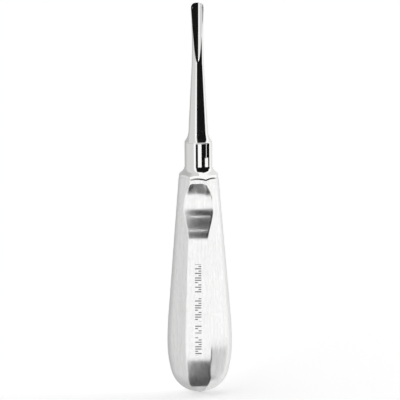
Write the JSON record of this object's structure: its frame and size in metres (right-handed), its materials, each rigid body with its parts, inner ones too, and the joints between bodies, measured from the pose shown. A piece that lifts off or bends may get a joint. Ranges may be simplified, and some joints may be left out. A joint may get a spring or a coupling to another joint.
{
  "type": "dental elevator",
  "caption": "Straight dental elevator: gouge blade, polished shank and flared neck, and a hollow faceted pear-shaped handle with a thumb saddle.",
  "frame": {"origin": "lowest point of the nub on the butt, on the tool's long axis", "axes": "+Z along the tool from butt to blade tip; -Y is the side with the thumb saddle and the blade's groove; +X to the right seen from there"},
  "size_m": [0.0248, 0.0248, 0.15],
  "materials": {
    "polished_steel": "mirror polished stainless steel",
    "polished_ferrule_steel": "mirror polished stainless steel",
    "turned_steel": "as turned",
    "satin_steel": "satin, brushed along the handle",
    "plug_steel": "ground flush and satin"
  },
  "bodies": {
    "root": {"working_end": "polished_steel", "neck_ferrule": "polished_ferrule_steel", "tang_cross_pin": "turned_steel", "tang_support_disc": "turned_steel", "handle_front_shell": "satin_steel", "handle_rear_shell": "satin_steel", "butt_plug": "plug_steel"}
  },
  "joints": []
}
